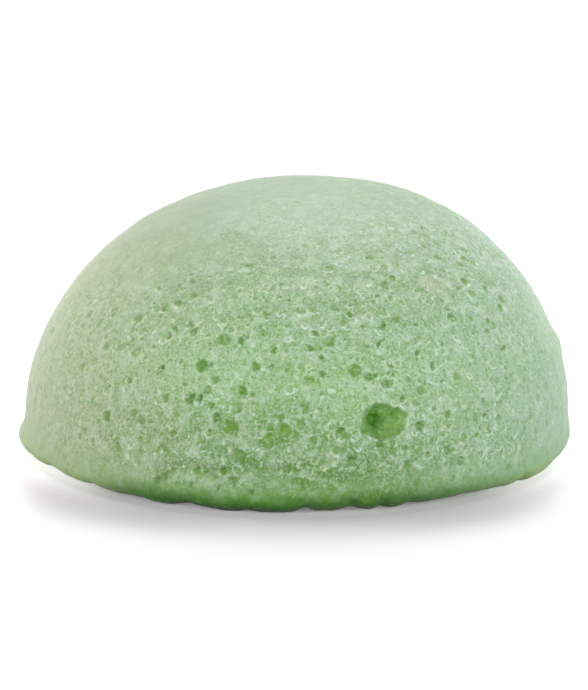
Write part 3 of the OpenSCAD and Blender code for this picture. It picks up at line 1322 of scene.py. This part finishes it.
    def pit(self, piece: bpy.types.Object) -> None:
        """Leans and waves the even form, bursts its bubbles and lays out its map.

        Args:
            piece: The casting with its even mesh.
        """
        tree = bpy.data.node_groups.new("pitting", "GeometryNodeTree")
        for way in ("INPUT", "OUTPUT"):
            tree.interface.new_socket("Geometry", in_out=way, socket_type="NodeSocketGeometry")
        sheet = NodeSheet(tree)
        held = sheet.add("NodeGroupInput").outputs[0]
        place = sheet.add("GeometryNodeInputPosition").outputs[0]
        normal = sheet.add("GeometryNodeInputNormal").outputs[0]
        crooked = BUBBLE_CROOK.bent(sheet, place)
        depth = self.listed_depth(sheet, crooked, sheet.scaled(normal, -1.0))
        rough = self.openness.share(sheet, place)
        strewn = self.strewn_depth(sheet, place, crooked, rough)
        offset, fold = SkinForm(self.dome_r, self.brim_h).strays(sheet, place)
        for name, kind, domain, value in (
            (Stored.PLACE.value, "FLOAT_VECTOR", "POINT", place),
            ("OFBake", "FLOAT2", "CORNER", self.map_place(sheet, place)),
            (Stored.DEPTH.value, "FLOAT", "POINT", depth),
            (Stored.OPENNESS.value, "FLOAT", "POINT", rough),
            (Stored.FOLD.value, "FLOAT", "POINT", fold),
        ):
            feeds = {"Geometry": held, "Name": name, "Value": value}
            kept = sheet.add("GeometryNodeStoreNamedAttribute", feeds, data_type=kind, domain=domain)
            held = kept.outputs[0]
        out = sheet.math("SUBTRACT", offset, sheet.math("MAXIMUM", depth, strewn))
        moved = sheet.vector("ADD", place, sheet.scaled(normal, out))
        feeds = {"Geometry": held, "Position": self.leant(sheet, place, moved)}
        done = sheet.add("GeometryNodeSetPosition", feeds).outputs[0]
        sheet.add("NodeGroupOutput", {0: done})
        modifier = piece.modifiers.new("pitting", "NODES")
        modifier.node_group = tree
        self.apply(piece, modifier)

    def blurred(self, sheet: NodeSheet, value: object, rounds: int) -> Socket:
        """Gives a value smoothed over the mesh, a number of times."""
        feeds = {"Value": value, "Iterations": rounds}
        return sheet.add("GeometryNodeBlurAttribute", feeds, data_type="FLOAT").outputs[0]

    def map_place(self, sheet: NodeSheet, place: object) -> Socket:
        """Lays the dome and the underside out as two discs on the piece's own map.

        Args:
            sheet: The nodes of the pitting.
            place: The point on the even form.

        Returns:
            The point's place on the map.
        """
        x, y, z = sheet.split(place)
        out = sheet.math("SQRT", sheet.total(sheet.times(x, x), sheet.times(y, y)))
        reach = sheet.times(sheet.math("ARCTAN2", out, z), self.map_dome_r / (math.pi / 2))
        spread = sheet.math("DIVIDE", reach, sheet.math("MAXIMUM", out, self.map_least_r))
        dome_middle = (self.map_dome_r + self.map_margin) / self.map_side
        base_middle = 1 - (self.brim_r + self.map_margin) / self.map_side
        dome_u = sheet.fit(sheet.times(x, spread), 1 / self.map_side, dome_middle)
        dome_v = sheet.fit(sheet.times(y, spread), 1 / self.map_side, dome_middle)
        base_u = sheet.fit(x, -1 / self.map_side, base_middle)
        base_v = sheet.fit(y, 1 / self.map_side, base_middle)
        face = sheet.add("GeometryNodeFieldOnDomain", {0: z}, data_type="FLOAT", domain="FACE")
        under = sheet.math("LESS_THAN", face.outputs[0], self.underside_h)
        dome, base = sheet.join(dome_u, dome_v, 0.0), sheet.join(base_u, base_v, 0.0)
        feeds = {"Factor": under, 4: dome, 5: base}
        return sheet.add("ShaderNodeMix", feeds, data_type="VECTOR").outputs[1]

    def build(self) -> bpy.types.Object:
        """Builds and dresses the sponge, and puts it on its body.

        Returns:
            The finished piece.
        """
        piece = self.casting()
        self.fill_with_cells(piece)
        LOG.info("%s: even mesh of %d faces", piece.name, len(piece.data.polygons))
        self.pit(piece)
        piece.data.materials.clear()
        piece.data.materials.append(self.finish.material("damp_konjac_foam"))
        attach(piece, "root")
        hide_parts("foam_core", "dome_skin", "base_skin")
        return piece


@dataclass(frozen=True)
class FloorFinish:
    """The pale floor: white to the camera, with the sponge's shadow, a soft painted shadow ring in front
    and painted light that pales the shadow at the sides and along the contact.
    """

    white: float = 0.99
    bounce: float = 0.6
    mirrored: Ramp = Ramp(39 * MM, 50 * MM)
    # painted shadow: a soft grey ring in front of the sponge, darkening the floor's tone
    ring: Hump = (47 * MM, 6 * MM)
    shadow_ring_front: Ramp = Ramp(0.0, -14 * MM)
    shadow_ring_x: float = -2 * MM
    shadow_ring_ends: Ramp = Ramp(42 * MM, 29 * MM)
    shadow_ring_middle: Ramp = Ramp(0.1, 0.5, 0.25, 1.0)
    shadow_ring_share: float = 0.27
    tinted: Ramp = Ramp(65 * MM, 42 * MM, 0.0, -0.05)
    glow: float = 0.04
    # painted light: camera-only glow that pales the shadow at the sides, near the sponge and along its
    # contact
    painted_side_light: Ramp = Ramp(34 * MM, 50 * MM, 0.0, 0.5)
    far_glow: Ramp = Ramp(0.5, 1.5, 0.0, 0.3)
    close: Ramp = Ramp(46 * MM, 38 * MM)
    painted_close_light: Ramp = Ramp(0.6, 0.98, 0.03, 0.58)
    painted_contact_light: Ramp = Ramp(41.5 * MM, 38.5 * MM, 0.0, 0.1)

    def material(self, name: str) -> bpy.types.Material:
        """Makes the floor's material.

        Args:
            name: The material's name.

        Returns:
            The new material.
        """
        made = bpy.data.materials.new(name)
        made.use_nodes = True
        made.node_tree.nodes.clear()
        sheet = NodeSheet(made.node_tree)
        place = sheet.add("ShaderNodeTexCoord").outputs["Object"]
        x, y, _ = sheet.split(place)
        out = sheet.measure("LENGTH", place)
        across = sheet.math("ABSOLUTE", x)
        sideways = sheet.math("DIVIDE", across, out)
        by_camera = sheet.add("ShaderNodeLightPath").outputs["Is Camera Ray"]
        seen = sheet.math("MAXIMUM", by_camera, sheet.ramp(out, self.mirrored))
        seen = sheet.times(white_to_camera(sheet), seen)
        # painted shadow ring
        ring = sheet.times(sheet.bell(out, self.ring), sheet.ramp(y, self.shadow_ring_front))
        ring = sheet.times(ring, sheet.ramp(sheet.gap(x, self.shadow_ring_x), self.shadow_ring_ends))
        ring = sheet.times(ring, sheet.ramp(sideways, self.shadow_ring_middle), seen, self.shadow_ring_share)
        tone = sheet.fit(seen, self.white - self.bounce, self.bounce)
        tone = sheet.times(tone, sheet.math("SUBTRACT", 1.0, ring))
        # the floor is a little less green near the sponge, which takes the green out of the light the sponge
        # bounces there
        less_green = sheet.fit(sheet.ramp(out, self.tinted), seen, 1.0)
        tint = sheet.add("ShaderNodeCombineColor", {0: tone, 1: sheet.times(tone, less_green), 2: tone})
        # painted light near the sponge at its sides
        lift = sheet.times(sheet.ramp(out, self.close), sheet.ramp(sideways, self.painted_close_light))
        far = sheet.total(sheet.ramp(across, self.painted_side_light), sheet.ramp(out, self.far_glow))
        level = sheet.total(self.glow, far, lift, sheet.ramp(out, self.painted_contact_light))
        feeds = {"Color": WHITE, "Strength": sheet.times(seen, level)}
        matt = sheet.add("ShaderNodeBsdfDiffuse", {"Color": tint.outputs[0]}).outputs[0]
        glow = sheet.add("ShaderNodeEmission", feeds).outputs[0]
        both = sheet.add("ShaderNodeAddShader", {0: matt, 1: glow}).outputs[0]
        sheet.add("ShaderNodeOutputMaterial", {"Surface": both})
        return made


def white_to_camera(sheet: NodeSheet) -> Socket:
    """Gives 1 for rays that come from the camera, a mirror or glass, and 0 for the rest."""
    rays = sheet.add("ShaderNodeLightPath").outputs
    seen = sheet.math("MAXIMUM", rays["Is Camera Ray"], rays["Is Glossy Ray"])
    return sheet.math("MAXIMUM", seen, rays["Is Transmission Ray"])


@dataclass
class Studio:
    """The plain floor, the soft light and the camera."""

    floor_size: float = 6.0
    floor_finish: FloorFinish = FloorFinish()
    key_distance: float = 2.6
    key_tilt: float = 34.0
    key_size: float = 2.2
    key_power: float = 54.0
    fill_distance: float = 2.0
    fill_bearing: float = 48.0
    fill_rise: float = 16.0
    fill_size: float = 1.4
    fill_power: float = 16.8
    sky_level: float = 0.24
    camera_distance: float = 0.600
    camera_rise: float = 13.6
    camera_lens: float = 214.0
    sensor_width: float = 36.0
    clip_start: float = 0.01
    aim: tuple[float, float, float] = (-0.00028, 0.0, 0.01444)

    def floor(self) -> bpy.types.Object:
        """Lays the pale floor, which shows white, keeps the sponge's shadow and carries a painted shadow
        ring and painted light.

        Returns:
            The floor.
        """
        bpy.ops.object.select_all(action="DESELECT")
        bpy.ops.mesh.primitive_plane_add(size=self.floor_size, location=(0, 0, 0))
        made = bpy.context.object
        made.name = made.data.name = "floor"
        made.data.materials.append(self.floor_finish.material("pale_floor"))
        return made

    def sky(self) -> None:
        """Surrounds the sponge with even soft light, which the camera sees as white."""
        world = bpy.data.worlds.new("soft_sky")
        world.use_nodes = True
        world.node_tree.nodes.clear()
        sheet = NodeSheet(world.node_tree)
        level = sheet.fit(white_to_camera(sheet), 1.0 - self.sky_level, self.sky_level)
        shade = sheet.add("ShaderNodeBackground", {"Color": WHITE, "Strength": level}).outputs[0]
        sheet.add("ShaderNodeOutputWorld", {"Surface": shade})
        bpy.context.scene.world = world

    def lamp(self, name: str, way: Vector, distance: float, size: float, power: float) -> None:
        """Hangs a round soft lamp that faces the sponge.

        Args:
            name: The lamp's name.
            way: The way from the sponge to the lamp, of unit length.
            distance: How far off the lamp is.
            size: The lamp's width.
            power: The lamp's power in watts.
        """
        bpy.ops.object.light_add(type="AREA", location=way * distance)
        made = bpy.context.object
        made.name = name
        made.rotation_mode = "QUATERNION"
        made.rotation_quaternion = (-way).to_track_quat("-Z", "Y")
        made.data.shape = "DISK"
        made.data.size = size
        made.data.energy = power

    def lamps(self) -> None:
        """Sets up the key above and behind the sponge, and a low fill at each side in front."""
        tilt = math.radians(self.key_tilt)
        way = Vector((0, math.sin(tilt), math.cos(tilt)))
        self.lamp("key_lamp", way, self.key_distance, self.key_size, self.key_power)
        rise = math.radians(self.fill_rise)
        flat = math.cos(rise)
        for name, side in (("left_fill", -1), ("right_fill", 1)):
            turn = math.radians(self.fill_bearing) * side
            way = Vector((math.sin(turn) * flat, -math.cos(turn) * flat, math.sin(rise)))
            self.lamp(name, way, self.fill_distance, self.fill_size, self.fill_power)

    def camera(self) -> bpy.types.Object:
        """Sets up the camera as the photograph was taken.

        Returns:
            The camera.
        """
        rise = math.radians(self.camera_rise)
        back = Vector((0, -math.cos(rise), math.sin(rise)))
        data = bpy.data.cameras.new("camera")
        data.lens = self.camera_lens
        data.sensor_width = self.sensor_width
        data.clip_start = self.clip_start
        made = bpy.data.objects.new("camera", data)
        bpy.context.scene.collection.objects.link(made)
        made.location = Vector(self.aim) + back * self.camera_distance
        made.rotation_mode = "QUATERNION"
        made.rotation_quaternion = (-back).to_track_quat("-Z", "Y")
        bpy.context.scene.camera = made
        return made

    def build(self) -> None:
        """Sets up the floor, the sky, the lamps and the camera."""
        self.camera()
        self.floor()
        self.sky()
        self.lamps()
        bpy.context.scene.view_settings.view_transform = "Standard"


def main() -> None:
    """Builds the sponge and its studio."""
    logging.basicConfig(level=logging.INFO, format="%(message)s")
    Studio().build()
    dome_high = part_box("dome_skin")[1]
    base_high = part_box("base_skin")[1]
    sponge = Sponge(dome_r=dome_high.y, crown_h=dome_high.z, brim_r=base_high.y, brim_h=base_high.z)
    piece = sponge.build()
    LOG.info("%s: %d faces", piece.name, len(piece.data.polygons))


if __name__ == "__main__":
    main()
